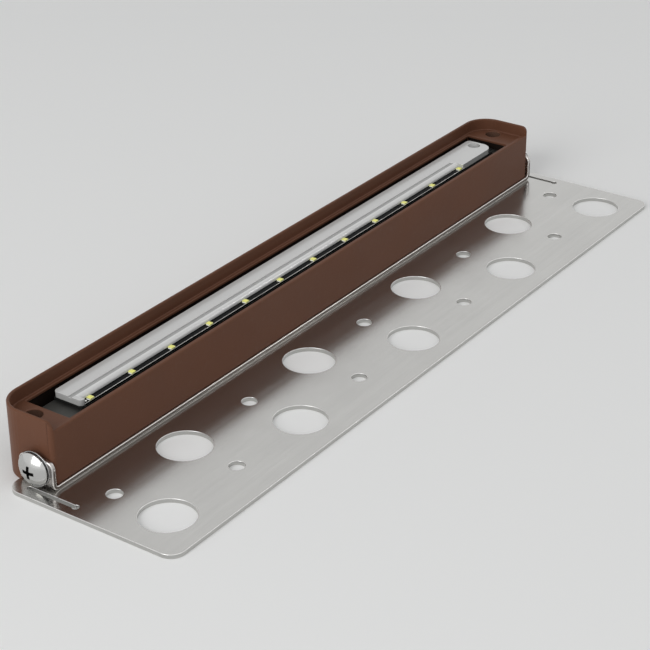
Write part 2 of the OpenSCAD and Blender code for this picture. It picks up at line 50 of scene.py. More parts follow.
def newGroup(name, inputs, outputs):
    group = bpy.data.node_groups.new(name, "ShaderNodeTree")
    for label, kind, value in inputs:
        socket = group.interface.new_socket(label, in_out="INPUT", socket_type=kind)
        if value is not None:
            socket.default_value = value
    for label, kind in outputs:
        group.interface.new_socket(label, in_out="OUTPUT", socket_type=kind)
    return group, group.nodes.new("NodeGroupInput"), group.nodes.new("NodeGroupOutput")


def link(tree, source, target):
    tree.links.new(source, target)


def mathNode(tree, operation, first, second, clamp=False):
    node = tree.nodes.new("ShaderNodeMath")
    node.operation = operation
    node.use_clamp = clamp
    for index, value in enumerate((first, second)):
        if isinstance(value, (int, float)):
            node.inputs[index].default_value = value
        else:
            link(tree, value, node.inputs[index])
    return node.outputs[0]


def remap(tree, value, low, high, outLow, outHigh):
    node = tree.nodes.new("ShaderNodeMapRange")
    for index, part in enumerate((value, low, high, outLow, outHigh)):
        if isinstance(part, (int, float)):
            node.inputs[index].default_value = part
        else:
            link(tree, part, node.inputs[index])
    return node.outputs[0]


def noiseNode(tree, vector, scale, detail, roughness=0.5):
    node = tree.nodes.new("ShaderNodeTexNoise")
    node.inputs["Scale"].default_value = 1.0
    node.inputs["Detail"].default_value = detail
    node.inputs["Roughness"].default_value = roughness
    scaled = tree.nodes.new("ShaderNodeVectorMath")
    scaled.operation = "SCALE"
    link(tree, vector, scaled.inputs[0])
    if isinstance(scale, (int, float)):
        scaled.inputs["Scale"].default_value = scale
    else:
        link(tree, scale, scaled.inputs["Scale"])
    link(tree, scaled.outputs[0], node.inputs["Vector"])
    return node.outputs[0]


def mixColour(tree, factor, first, second):
    node = tree.nodes.new("ShaderNodeMix")
    node.data_type = "RGBA"
    sockets = (node.inputs["Factor"], node.inputs[6], node.inputs[7])
    for socket, value in zip(sockets, (factor, first, second)):
        if isinstance(value, (int, float)):
            socket.default_value = value
        elif isinstance(value, (tuple, list)):
            socket.default_value = (*value, 1.0)
        else:
            link(tree, value, socket)
    return node.outputs[2]


# Spans of noise values that are stretched over a whole effect
noiseSpan = (0.3, 0.7)
cloudSpan = (0.35, 0.68)
speckSpan = (0.62, 0.74)  # only the highest values make specks
speckColour = (0.42, 0.4, 0.37)
cloudScale = 34.0    # clouds per metre, about
pitScale = 2600.0


# Mottle, fine grain and sparse specks of a moulded, cast or coated surface
def surfaceGrainGroup():
    group, given, made = newGroup(
        "surfaceGrain",
        [("Colour", "NodeSocketColor", (0.5, 0.5, 0.5, 1)), ("Mottle Size", "NodeSocketFloat", 0.02),
         ("Grain Size", "NodeSocketFloat", 0.0004), ("Mottle", "NodeSocketFloat", 0.1),
         ("Roughness", "NodeSocketFloat", 0.5), ("Roughness Spread", "NodeSocketFloat", 0.1),
         ("Dust", "NodeSocketFloat", 0.0)],
        [("Colour", "NodeSocketColor"), ("Roughness", "NodeSocketFloat"), ("Height", "NodeSocketFloat")])
    place = group.nodes.new("ShaderNodeTexCoord").outputs["Object"]
    broad = noiseNode(group, place, mathNode(group, "DIVIDE", 1.0, given.outputs["Mottle Size"]), 3)
    fineScale = mathNode(group, "DIVIDE", 1.0, given.outputs["Grain Size"])
    fine = noiseNode(group, place, fineScale, 2)
    coarse = noiseNode(group, place, mathNode(group, "MULTIPLY", fineScale, 0.23), 2)
    broadShade = remap(group, broad, *noiseSpan, -1.0, 1.0)
    fineShade = remap(group, fine, *noiseSpan, -0.6, 0.6)
    shade = mathNode(group, "ADD", broadShade, fineShade)
    gain = mathNode(group, "ADD", mathNode(group, "MULTIPLY", shade, given.outputs["Mottle"]), 1.0)
    tinted = group.nodes.new("ShaderNodeVectorMath")
    tinted.operation = "SCALE"
    link(group, given.outputs["Colour"], tinted.inputs[0])
    link(group, gain, tinted.inputs["Scale"])
    specks = mathNode(group, "MULTIPLY", remap(group, coarse, *speckSpan, 0.0, 1.0), given.outputs["Dust"])
    dusty = mixColour(group, specks, tinted.outputs[0], speckColour)
    link(group, dusty, made.inputs["Colour"])
    spread = remap(group, broad, *noiseSpan, -0.5, 0.5)
    rough = mathNode(group, "MULTIPLY", spread, given.outputs["Roughness Spread"])
    rough = mathNode(group, "ADD", rough, given.outputs["Roughness"])
    rough = mathNode(group, "ADD", rough, mathNode(group, "MULTIPLY", specks, 0.2), True)
    link(group, rough, made.inputs["Roughness"])
    height = mathNode(group, "ADD", fine, mathNode(group, "MULTIPLY", coarse, 1.6))
    link(group, height, made.inputs["Height"])
    return group


# Rolled or ground metal: long streaks, cloudy smudges and fine pits
def metalStreaksGroup():
    group, given, made = newGroup(
        "metalStreaks",
        [("Colour", "NodeSocketColor", (0.6, 0.6, 0.6, 1)), ("Streak Stretch", "NodeSocketVector", (1, 1, 1)),
         ("Streak Size", "NodeSocketFloat", 0.0003), ("Streaks", "NodeSocketFloat", 0.1),
         ("Smudges", "NodeSocketFloat", 0.1), ("Roughness", "NodeSocketFloat", 0.3),
         ("Roughness Spread", "NodeSocketFloat", 0.1)],
        [("Colour", "NodeSocketColor"), ("Roughness", "NodeSocketFloat"), ("Height", "NodeSocketFloat")])
    place = group.nodes.new("ShaderNodeTexCoord").outputs["Object"]
    stretched = group.nodes.new("ShaderNodeVectorMath")
    stretched.operation = "MULTIPLY"
    link(group, place, stretched.inputs[0])
    link(group, given.outputs["Streak Stretch"], stretched.inputs[1])
    fineScale = mathNode(group, "DIVIDE", 1.0, given.outputs["Streak Size"])
    streak = noiseNode(group, stretched.outputs[0], fineScale, 3, 0.6)
    broadStreak = noiseNode(group, stretched.outputs[0], mathNode(group, "MULTIPLY", fineScale, 0.13), 3)
    cloud = noiseNode(group, place, cloudScale, 4, 0.55)
    pit = noiseNode(group, place, pitScale, 1)
    fineShade = remap(group, streak, *noiseSpan, -0.6, 0.6)
    broadShade = remap(group, broadStreak, *noiseSpan, -0.7, 0.7)
    shade = mathNode(group, "ADD", fineShade, broadShade)
    shade = mathNode(group, "MULTIPLY", shade, given.outputs["Streaks"])
    smudge = mathNode(group, "MULTIPLY", remap(group, cloud, *cloudSpan, -0.5, 0.5), given.outputs["Smudges"])
    gain = mathNode(group, "ADD", mathNode(group, "ADD", shade, smudge), 1.0)
    tinted = group.nodes.new("ShaderNodeVectorMath")
    tinted.operation = "SCALE"
    link(group, given.outputs["Colour"], tinted.inputs[0])
    link(group, gain, tinted.inputs["Scale"])
    link(group, tinted.outputs[0], made.inputs["Colour"])
    streakRough = remap(group, broadStreak, *noiseSpan, -0.4, 0.4)
    cloudRough = remap(group, cloud, *cloudSpan, 0.5, -0.3)
    rough = mathNode(group, "ADD", streakRough, cloudRough)
    rough = mathNode(group, "MULTIPLY", rough, given.outputs["Roughness Spread"])
    rough = mathNode(group, "ADD", rough, given.outputs["Roughness"], True)
    link(group, rough, made.inputs["Roughness"])
    height = mathNode(group, "ADD", streak, mathNode(group, "MULTIPLY", pit, 0.5))
    link(group, height, made.inputs["Height"])
    return group


surfaceGrain = surfaceGrainGroup()
metalStreaks = metalStreaksGroup()


def newMaterial(name):
    material = bpy.data.materials.new(name)
    material.use_nodes = True
    return material, material.node_tree, material.node_tree.nodes["Principled BSDF"]


def addGroup(tree, group, values):
    node = tree.nodes.new("ShaderNodeGroup")
    node.node_tree = group
    for label, value in values.items():
        node.inputs[label].default_value = value
    return node


def addBump(tree, height, shader, strength, distance):
    bump = tree.nodes.new("ShaderNodeBump")
    bump.inputs["Strength"].default_value = strength
    bump.inputs["Distance"].default_value = distance
    link(tree, height, bump.inputs["Height"])
    link(tree, bump.outputs[0], shader.inputs["Normal"])


coatRoughness = 0.12


# A coated, moulded or rubber finish
def grainMaterial(name, colour, roughness, mottle=0.06, mottleSize=0.03, grainSize=0.0005, spread=0.08,
                  dust=0.0, bump=0.15, bumpDepth=0.00006, coat=0.0, specular=0.5):
    material, tree, shader = newMaterial(name)
    grain = addGroup(tree, surfaceGrain, {
        "Colour": (*colour, 1.0), "Mottle Size": mottleSize, "Grain Size": grainSize, "Mottle": mottle,
        "Roughness": roughness, "Roughness Spread": spread, "Dust": dust})
    link(tree, grain.outputs["Colour"], shader.inputs["Base Color"])
    link(tree, grain.outputs["Roughness"], shader.inputs["Roughness"])
    shader.inputs["Coat Weight"].default_value = coat
    shader.inputs["Coat Roughness"].default_value = coatRoughness
    shader.inputs["Specular IOR Level"].default_value = specular
    addBump(tree, grain.outputs["Height"], shader, bump, bumpDepth)
    return material


# A bare or plated metal
def metalMaterial(name, colour, roughness, streaks=0.06, smudges=0.08, stretch=(1, 1, 1), streakSize=0.0004,
                  spread=0.08, bump=0.1, bumpDepth=0.00003):
    material, tree, shader = newMaterial(name)
    steel = addGroup(tree, metalStreaks, {
        "Colour": (*colour, 1.0), "Streak Stretch": stretch, "Streak Size": streakSize, "Streaks": streaks,
        "Smudges": smudges, "Roughness": roughness, "Roughness Spread": spread})
    link(tree, steel.outputs["Colour"], shader.inputs["Base Color"])
    link(tree, steel.outputs["Roughness"], shader.inputs["Roughness"])
    shader.inputs["Metallic"].default_value = 1.0
    addBump(tree, steel.outputs["Height"], shader, bump, bumpDepth)
    return material


alongX = (0.03, 1.0, 1.0)  # streaks run along the light

brownCoat = grainMaterial("brownPowderCoat", (0.132, 0.056, 0.032), 0.44, dust=0.015, bump=0.35,
                          specular=0.13)
# lighter brown on the rounded edges: partly a thinner coat, partly a painted highlight
brownEdgeWearAndHighlight = grainMaterial("brownCoatThinEdgeAndHighlight", (0.148, 0.066, 0.04), 0.42, mottle=0.08, bump=0.3,
                          bumpDepth=0.00005, specular=0.14)
# glossier coat of the blind holes, painted a lighter brown: a painted highlight for their lit walls
brownGlossPaintedHighlight = grainMaterial("brownCoatGlossyPaintedHighlight", (0.13, 0.072, 0.05), 0.2, spread=0.06, bump=0.1, coat=0.6)
# near-black coat for the faces deep in the housing's hollow: painted shade
paintedShadeInside = grainMaterial("paintedShadeInside", (0.012, 0.007, 0.005), 0.6, mottle=0.1, bump=0.2, specular=0.15)
plateSteel = metalMaterial("plateStainless", (0.525, 0.522, 0.507), 0.2, streaks=0.035, smudges=0.04,
                           stretch=alongX, streakSize=0.0003, spread=0.05, bump=0.06)
# brighter steel on the plate's rounded edges: partly the cut finish, partly a painted highlight on the edges
# and hole rims
cutEdgeAndHighlight = metalMaterial("cutEdgeFinishAndHighlight", (0.74, 0.735, 0.72), 0.28, streaks=0.08, smudges=0.05,
                        stretch=(1, 1, 0.1), streakSize=0.0003, bump=0.15)
stripSteel = metalMaterial("stripStainless", (0.46, 0.437, 0.42), 0.26, smudges=0.06, stretch=alongX,
                           streakSize=0.0003, bump=0.08)
# lighter steel on the strip's rounded edges: a painted highlight for the bright line along its top front edge
stripEdgePaintedHighlight = metalMaterial("stripEdgePaintedHighlight", (0.66, 0.64, 0.62), 0.24, streaks=0.03, smudges=0.04, stretch=alongX,
                          streakSize=0.0003, spread=0.03, bump=0.04)
# dark steel for the strip's front face: painted shade standing in for a dark reflection
stripFrontPaintedShade = metalMaterial("stripFrontPaintedShadeSteel", (0.13, 0.112, 0.1), 0.3, streaks=0.05, smudges=0.05,
                           stretch=alongX, streakSize=0.0003, spread=0.04, bump=0.05)
washerSteel = metalMaterial("washerZinc", (0.52, 0.52, 0.52), 0.24, streaks=0.05, smudges=0.1, spread=0.1,
                            bump=0.08)
brightSteel = metalMaterial("screwBright", (0.56, 0.56, 0.55), 0.15, streaks=0.03, smudges=0.05,
                            streakSize=0.0005, spread=0.05, bump=0.04)
# near-black steel inside the screws' cross recess: painted shade
recessPaintedShade = metalMaterial("screwRecessPaintedShade", (0.025, 0.024, 0.023), 0.6, streaks=0.1, smudges=0.2)
plainSteel = metalMaterial("screwPlain", (0.45, 0.45, 0.45), 0.35, streaks=0.05, smudges=0.1)
insertBrass = metalMaterial("insertBrass", (0.62, 0.42, 0.17), 0.3, streaks=0.05, smudges=0.1)
heatGrey = metalMaterial("heatPlateGrey", (0.085, 0.085, 0.08), 0.5, smudges=0.1, stretch=alongX, spread=0.06,
                         bump=0.2)
lensWhite = grainMaterial("lensFrosted", (0.58, 0.58, 0.57), 0.18, mottle=0.02, mottleSize=0.02, spread=0.06,
                          bump=0.05, coat=1.0)
# lighter white for the nose behind the diodes: a painted highlight
lensNosePaintedHighlight = grainMaterial("lensNosePaintedHighlight", (0.74, 0.74, 0.73), 0.2, mottle=0.02, mottleSize=0.02, spread=0.04,
                         bump=0.03, coat=1.0)
# darker grey for the lens's groove and dimple: painted shade
lensRecessPaintedShade = grainMaterial("lensRecessPaintedShade", (0.36, 0.36, 0.352), 0.26, mottle=0.03, mottleSize=0.02, spread=0.06,
                           bump=0.05, coat=0.4)
padBlack = grainMaterial("padFoam", (0.012, 0.012, 0.011), 0.8, mottle=0.3, grainSize=0.0003, bump=0.9,
                         bumpDepth=0.00012, specular=0.2)
boardBlack = grainMaterial("boardMask", (0.005, 0.0055, 0.006), 0.5, mottle=0.2, mottleSize=0.01,
                           specular=0.06)
boardEdge = metalMaterial("boardEdgeTinned", (0.6, 0.59, 0.57), 0.35, streaks=0.3, smudges=0.2,
                          stretch=(0.5, 1, 1), streakSize=0.0006, spread=0.1, bump=0.3)
solderTin = metalMaterial("solderTin", (0.72, 0.72, 0.71), 0.22, streaks=0.05, smudges=0.12, bump=0.12)
boardGreen = grainMaterial("driverMask", (0.03, 0.12, 0.04), 0.35, mottle=0.12, mottleSize=0.008, bump=0.2,
                           coat=0.3)
diodeFrame = grainMaterial("diodeFrame", (1.0, 1.0, 0.42), 0.4, mottle=0.04, mottleSize=0.001, bump=0.1)
diodeYellow = grainMaterial("diodePhosphor", (1.0, 0.98, 0.2), 0.35, mottle=0.08, mottleSize=0.0008, bump=0.2,
                            coat=0.4)
terminalGreen = grainMaterial("terminalMoulding", (0.03, 0.16, 0.07), 0.35, mottle=0.05, bump=0.1)
chipBlack = grainMaterial("chipEpoxy", (0.012, 0.012, 0.013), 0.5, mottle=0.15, grainSize=0.0003, bump=0.3)
canSleeve = grainMaterial("canSleeve", (0.02, 0.03, 0.08), 0.3, mottle=0.05, bump=0.05, coat=0.2)
ferriteGrey = grainMaterial("ferrite", (0.04, 0.04, 0.042), 0.55, mottle=0.15, grainSize=0.0003, bump=0.35)
leadRed = grainMaterial("leadJacket", (0.22, 0.012, 0.012), 0.35, mottle=0.04, bump=0.05)
rubberBlack = grainMaterial("bushRubber", (0.012, 0.012, 0.012), 0.6, mottle=0.15, grainSize=0.0004, bump=0.3)
print("materials made:", len(bpy.data.materials))

finishes = {
    "mounting_plate": plateSteel, "cradle": stripSteel, "housing": brownCoat, "lens": lensWhite,
    "lens_pad": padBlack, "led_board": boardBlack, "leds": diodeYellow, "heat_plate": heatGrey,
    "heat_plate_screws": plainSteel, "driver_board": boardGreen, "driver_board_screws": plainSteel,
    "terminal_block": terminalGreen, "bridge_rectifier": chipBlack, "input_capacitor": canSleeve,
    "output_capacitor": canSleeve, "inductor": ferriteGrey, "driver_chip": chipBlack,
    "supply_leads": leadRed, "led_leads": leadRed, "cable_bush": rubberBlack,
    "near_end_screw": brightSteel, "far_end_screw": brightSteel, "near_lock_washer": washerSteel,
    "far_lock_washer": washerSteel, "near_flat_washer": washerSteel, "far_flat_washer": washerSteel,
    "near_insert": insertBrass, "far_insert": insertBrass,
}

for name, finish in finishes.items():
    nodes[name].data.materials.clear()
    nodes[name].data.materials.append(finish)
    for polygon in nodes[name].data.polygons:
        polygon.material_index = 0


# Rounded copies of the solids

rounding = {
    "mergeWithin": 0.002 * mm,
    "flattenWithin": 0.6,  # degrees between faces that become one
    "planeWithin": 0.3,    # degrees between faces of one plane
    "sharpFrom": 28.0,     # degrees across an edge that is rounded
    "border": 1.15,        # border of a wide face, in widths of its rounding
    "wideFrom": 2.6,       # how many borders wide a face has to be to get one
    "segments": 3,
}
edgeWidths = {"plate": 0.14 * mm, "strip": 0.3 * mm, "housing": 0.3 * mm, "lens": 0.12 * mm, "pad": 0.1 * mm,
              "board": 0.13 * mm, "heatPlate": 0.12 * mm, "screw": 0.1 * mm, "lockWasher": 0.08 * mm,
              "flatWasher": 0.1 * mm}


def newPiece(name, mesh, materials):
    for material in materials:
        mesh.materials.append(material)
    piece = bpy.data.objects.new(name, mesh)
    bpy.context.scene.collection.objects.link(piece)
    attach(piece, "root")
    return piece


# Groups of faces that lie in one plane and touch each other
def flatRegions(work):
    limit = math.radians(rounding["planeWithin"])
    seen = set()
    regions = []
    for start in work.faces:
        if start in seen:
            continue
        seen.add(start)
        region = [start]
        for face in region:
            for edge in face.edges:
                for other in edge.link_faces:
                    if other not in seen and face.normal.angle(other.normal, math.pi) < limit:
                        seen.add(other)
                        region.append(other)
        regions.append(region)
    return regions


# Width of the strip that has a region's area and rim
def meanWidth(region):
    inside = set(region)
    rim = sum(edge.calc_length() for face in region for edge in face.edges
              if sum(other in inside for other in edge.link_faces) == 1)
    return 2 * sum(face.calc_area() for face in region) / rim


# A copy of a node's solid with its sharp edges rounded, which stands for the node.
# Each wide flat face gets a narrow border first, so that the rounding meets only clean strips.
# pick gives a face its material, and keep says where edges are rounded.
def roundedCopy(name, node, width, edgeFinish=None, extra=(), pick=None, keep=None):
    mesh = bpy.data.meshes.new(name)
    work = bmesh.new()
    work.from_mesh(nodes[node].data)
    bmesh.ops.remove_doubles(work, verts=work.verts, dist=rounding["mergeWithin"])
    flatten = math.radians(rounding["flattenWithin"])
    bmesh.ops.dissolve_limit(work, angle_limit=flatten, verts=work.verts, edges=work.edges)
    bmesh.ops.recalc_face_normals(work, faces=work.faces)
    border = rounding["border"] * width
    for region in flatRegions(work):
        clear = keep is None or all(keep(face.calc_center_median()) for face in region)
        if clear and meanWidth(region) > rounding["wideFrom"] * border:
            bmesh.ops.inset_region(work, faces=region, thickness=border, use_boundary=True,
                                   use_even_offset=True)
    sharp = math.radians(rounding["sharpFrom"])
    weights = work.edges.layers.float.new("bevel_weight_edge")
    for edge in work.edges:
        if len(edge.link_faces) == 2 and edge.calc_face_angle(0.0) > sharp:
            middle = (edge.verts[0].co + edge.verts[1].co) / 2
            if keep is None or keep(middle):
                edge[weights] = 1.0
            else:
                edge.smooth = False
    for face in work.faces:
        face.smooth = True
        face.material_index = pick(face) if pick else 0
    many = [face for face in work.faces if len(face.verts) > 4]
    bmesh.ops.triangulate(work, faces=many, quad_method="BEAUTY", ngon_method="BEAUTY")
    work.to_mesh(mesh)
    work.free()
    for attribute in ("custom_normal", "sharp_face"):
        if attribute in mesh.attributes:
            mesh.attributes.remove(mesh.attributes[attribute])
    materials = [finishes[node], *extra] + ([edgeFinish] if edgeFinish else [])
    piece = newPiece(name, mesh, materials)
    bevel = piece.modifiers.new("roundedEdges", "BEVEL")
    bevel.width = width
    bevel.segments = rounding["segments"]
    bevel.limit_method = "WEIGHT"
    bevel.use_clamp_overlap = False
    bevel.miter_outer = "MITER_ARC"
    bevel.face_strength_mode = "FSTR_ALL"
    if edgeFinish:
        bevel.material = len(materials) - 1
    weighted = piece.modifiers.new("evenShading", "WEIGHTED_NORMAL")
    weighted.keep_sharp = True
    weighted.use_face_influence = True
    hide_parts(node)


housingLow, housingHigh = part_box("housing")
lensLow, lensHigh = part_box("lens")
screwLow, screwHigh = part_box("far_end_screw")

stripFrontTilt = -0.7  # a face belongs to the front with painted shade when its normal's y is below this


# The front of the strip is painted darker than its rolled faces: painted shade standing in for a dark
# reflection
def stripZone(face):
    between = abs(face.calc_center_median().x) < housingHigh[0]
    return 1 if face.normal.y < stripFrontTilt and between else 0


housingZones = {
    "end": 133.9 * mm,         # the hollow reaches this far each way along the light
    "front": 15.3 * mm,        # and lies between these planes of the frame
    "back": 36.5 * mm,
    "top": 19.5 * mm,
    "bottom": 4.4 * mm,
    "nearInset": 6.9 * mm,     # the two blind holes, from the ends and the back of the housing
    "farInset": 5.0 * mm,
    "backInset": 10.2 * mm,
    "holeReach": 3.25 * mm,
    "holeAboveTop": 0.9 * mm,
    "lipDrop": 3.8 * mm,       # from the top of the lip to where rounding starts
}


# The two blind holes of the ledge are glossier than the coat round them, and painted a lighter brown: a
# painted highlight for their lit walls
def inBlindHole(centre):
    holes = (housingLow[0] + housingZones["nearInset"], housingHigh[0] - housingZones["farInset"])
    back = housingHigh[1] - housingZones["backInset"]
    near = any(math.hypot(centre.x - x, centre.y - back) < housingZones["holeReach"] for x in holes)
    return near and housingZones["bottom"] < centre.z < housingZones["top"] + housingZones["holeAboveTop"]


# Faces deep in the hollow get the near-black coat, painted shade where the hollow lies in shadow
def housingZone(face):
    centre = face.calc_center_median()
    if inBlindHole(centre):
        return 2
    hidden = (abs(centre.x) < housingZones["end"] and housingZones["front"] < centre.y < housingZones["back"]
              and housingZones["bottom"] < centre.z < housingZones["top"])
    return 1 if hidden else 0


# The lip is round already, so only what lies below it is rounded here
def belowLip(middle):
    return middle.z < housingHigh[2] - housingZones["lipDrop"]


lensZones = {
    "noseBack": 3.9 * mm,      # from the front edge to the back of the nose
    "noseNear": 1.7 * mm,      # from each end of the lens to the wall of the nose
    "noseFar": 23.35 * mm,
    "wall": 0.2 * mm,
    "edge": 0.6 * mm,          # a rim of this width keeps the look of the top face
    "deepest": 1.3 * mm,       # from the top face to the bottom of the dimple
    "shallowest": 0.05 * mm,
    "upFrom": 0.1,             # faces that look up at least this much
}


# The nose behind the diodes is painted brighter than the top face, a painted highlight; the groove and the
# dimple are painted darker, painted shade
def lensZone(face):
    centre = face.calc_center_median()
    onRim = not lensLow[0] + lensZones["edge"] < centre.x < lensHigh[0] - lensZones["edge"]
    if face.normal.z < lensZones["upFrom"] or onRim:
        return 0
    if centre.y < lensLow[1] + lensZones["noseBack"]:
        return 2 if centre.x < lensHigh[0] - lensZones["noseFar"] else 0
    sunk = lensHigh[2] - lensZones["deepest"] < centre.z < lensHigh[2] - lensZones["shallowest"]
    return 1 if sunk and centre.y < lensHigh[1] - lensZones["edge"] else 0


# The narrow wall at each end of the nose runs out to a point, where there is no room for a rounding
def offNoseWalls(middle):
    walls = (lensLow[0] + lensZones["noseNear"], lensHigh[0] - lensZones["noseFar"])
    atWall = any(abs(middle.x - x) < lensZones["wall"] for x in walls)
    return not (atWall and middle.y < lensLow[1] + lensZones["noseBack"])


screwCross = {
    "crown": 8.7 * mm,         # radius of the domed head
    "reach": 2.9 * mm,         # from the middle of the head to the ends of the cross
    "roundedFrom": 3.2 * mm,   # edges further out are rounded
    "depth": 2.4 * mm,         # from the top of the head to below the cross
    "sunk": 0.5 * mm,          # faces this far below the dome are in the cross
    "wallTilt": 0.85,          # faces that look less than this along the screw are walls
}


def screwReach(point):
    middleY, middleZ = (screwLow[1] + screwHigh[1]) / 2, (screwLow[2] + screwHigh[2]) / 2
    return math.hypot(point.y - middleY, point.z - middleZ)


# The cross keeps its crisp pressed edges
def outsideCross(point):
    return screwReach(point) > screwCross["roundedFrom"] or abs(point.x) < screwHigh[0] - screwCross["depth"]


# Faces in the cross get the near-black finish: painted shade in the recess
def screwZone(face):
    centre = face.calc_center_median()
    reach = screwReach(centre)
    depth = screwHigh[0] - abs(centre.x)
    domeSag = reach ** 2 / (2 * screwCross["crown"])
    inside = reach < screwCross["reach"] and depth < screwCross["depth"]
    steep = abs(face.normal.x) < screwCross["wallTilt"]
    return 1 if inside and (steep or depth > domeSag + screwCross["sunk"]) else 0


roundedCopy("mountingPlate", "mounting_plate", edgeWidths["plate"], cutEdgeAndHighlight)
roundedCopy("cradleStrip", "cradle", edgeWidths["strip"], stripEdgePaintedHighlight, extra=(stripFrontPaintedShade,), pick=stripZone)
roundedCopy("housingShell", "housing", edgeWidths["housing"], brownEdgeWearAndHighlight, extra=(paintedShadeInside, brownGlossPaintedHighlight),
            pick=housingZone, keep=belowLip)
roundedCopy("lensBar", "lens", edgeWidths["lens"], extra=(lensRecessPaintedShade, lensNosePaintedHighlight), pick=lensZone,
            keep=offNoseWalls)
roundedCopy("lensPad", "lens_pad", edgeWidths["pad"])
roundedCopy("diodeBoard", "led_board", edgeWidths["board"], boardEdge)
roundedCopy("heatPlate", "heat_plate", edgeWidths["heatPlate"])
for side in ("near", "far"):
    roundedCopy(side + "EndScrew", side + "_end_screw", edgeWidths["screw"], extra=(recessPaintedShade,),
                pick=screwZone, keep=outsideCross)
    roundedCopy(side + "LockWasher", side + "_lock_washer", edgeWidths["lockWasher"])
    roundedCopy(side + "FlatWasher", side + "_flat_washer", edgeWidths["flatWasher"])
print("edges rounded")


# Diodes: a moulded frame round a domed phosphor, with a soldered tab at each end

diodeRow = {
    "count": 12,
    "length": 1.8,      # sizes in millimetres
    "width": 1.9,
    "height": 0.5,
    "frame": 0.1,       # frame round the phosphor
    "slope": 0.05,      # from the frame down to the phosphor's edge
    "sink": 0.03,       # how deep the phosphor's edge lies
    "dome": 0.09,       # how far its middle stands up again
    "domeRings": ((0.75, 0.5), (0.65, 0.3), (0.4, 0.2)),  # each ring's scale and share of the rise
    "corner": 0.12,
    "tabLength": 0.3,
    "tabWidth": 1.3,
    "tabHeight": 0.2,
    "tabProfile": ((0.0, 0.0), (0.0, 1.0), (0.2, 0.62), (0.5, 0.3), (1.0, 0.06), (1.0, 0.0)),
}


def boxFaces(work, low, high, slot):
    corners = [work.verts.new(((low, high)[i][0], (low, high)[j][1], (low, high)[k][2]))
               for k in (0, 1) for j in (0, 1) for i in (0, 1)]
    faces = []
    for ids in ((0, 2, 3, 1), (4, 5, 7, 6), (0, 1, 5, 4), (2, 6, 7, 3), (0, 4, 6, 2), (1, 3, 7, 5)):
        face = work.faces.new([corners[i] for i in ids])
        face.material_index = slot
        faces.append(face)
    return faces


def addDiode(work, x, y, z):
    half = diodeRow["length"] / 2 * mm
    wide = diodeRow["width"] / 2 * mm
    high = diodeRow["height"] * mm
    faces = boxFaces(work, (x - half, y - wide, z), (x + half, y + wide, z + high), 0)
    edges = dict.fromkeys(edge for face in faces for edge in face.edges)  # each once, in a fixed order
    upright = [edge for edge in edges if abs(edge.verts[0].co.z - edge.verts[1].co.z) > high / 2]
    bmesh.ops.bevel(work, geom=upright, offset=diodeRow["corner"] * mm, segments=3, affect="EDGES",
                    profile=0.5)
    top = max((face for face in work.faces if abs(face.calc_center_median().x - x) < half / 2),
              key=lambda face: face.calc_center_median().z)
    bmesh.ops.inset_region(work, faces=[top], thickness=diodeRow["frame"] * mm)
    top.material_index = 1
    bmesh.ops.inset_region(work, faces=[top], thickness=diodeRow["slope"] * mm,
                            depth=-diodeRow["sink"] * mm)
    toCentre = Matrix.Translation(-top.calc_center_median())
    for scale, share in diodeRow["domeRings"]:
        top = bmesh.ops.extrude_discrete_faces(work, faces=[top])["faces"][0]
        bmesh.ops.scale(work, vec=(scale, scale, 1), space=toCentre, verts=top.verts)
        bmesh.ops.translate(work, vec=(0, 0, share * diodeRow["dome"] * mm), verts=top.verts)
        for face in {face for edge in top.edges for face in edge.link_faces}:
            face.material_index = 1
            face.smooth = True
    for side in (-1, 1):
        addTab(work, x + side * half, y, z, side)


# A solder fillet that falls away from the end of a diode
def addTab(work, x, y, z, side):
    reach = side * diodeRow["tabLength"] * mm
    wide = diodeRow["tabWidth"] / 2 * mm
    rings = []
    for across in (-wide, wide):
        rings.append([work.verts.new((x + part * reach, y + across, z + rise * diodeRow["tabHeight"] * mm))
                      for part, rise in diodeRow["tabProfile"]])
    count = len(diodeRow["tabProfile"])
    for index in range(count):
        following = (index + 1) % count
        face = work.faces.new((rings[0][index], rings[0][following], rings[1][following], rings[1][index]))
        face.material_index = 2
    for ring in rings:
        work.faces.new(ring).material_index = 2


# The order of the diodes' faces varies from run to run, so they are sorted by where they lie
def rowOrder(point):
    return point.x + 0.37 * point.y + 0.11 * point.z


def addDiodes():
    low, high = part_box("leds")
    first = low[0] + diodeRow["length"] / 2 * mm
    pitch = (high[0] - low[0] - diodeRow["length"] * mm) / (diodeRow["count"] - 1)
    work = bmesh.new()
    for index in range(diodeRow["count"]):
        addDiode(work, first + index * pitch, (low[1] + high[1]) / 2, low[2])
    bmesh.ops.recalc_face_normals(work, faces=work.faces)
    work.verts.sort(key=lambda vert: rowOrder(vert.co))
    work.faces.sort(key=lambda face: rowOrder(face.calc_center_median()))
    mesh = bpy.data.meshes.new("diodePackages")
    work.to_mesh(mesh)
    work.free()
    piece = newPiece("diodePackages", mesh, [diodeFrame, diodeYellow, solderTin])
    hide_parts("leds")


addDiodes()
print("diodes made:", diodeRow["count"])


# Two solder joints on the near end of the diode board

jointRow = {
    "fromEnd": (1.5, 2.9),   # each joint's distance from the near end of the board, in millimetres
    "fromFront": (1.0, 0.8),
    "radius": (0.42, 0.36),
    "height": 0.3,
    "rings": 5,
    "sides": 20,
    "reachPower": 0.8,       # shape of the mound
    "risePower": 1.3,
}


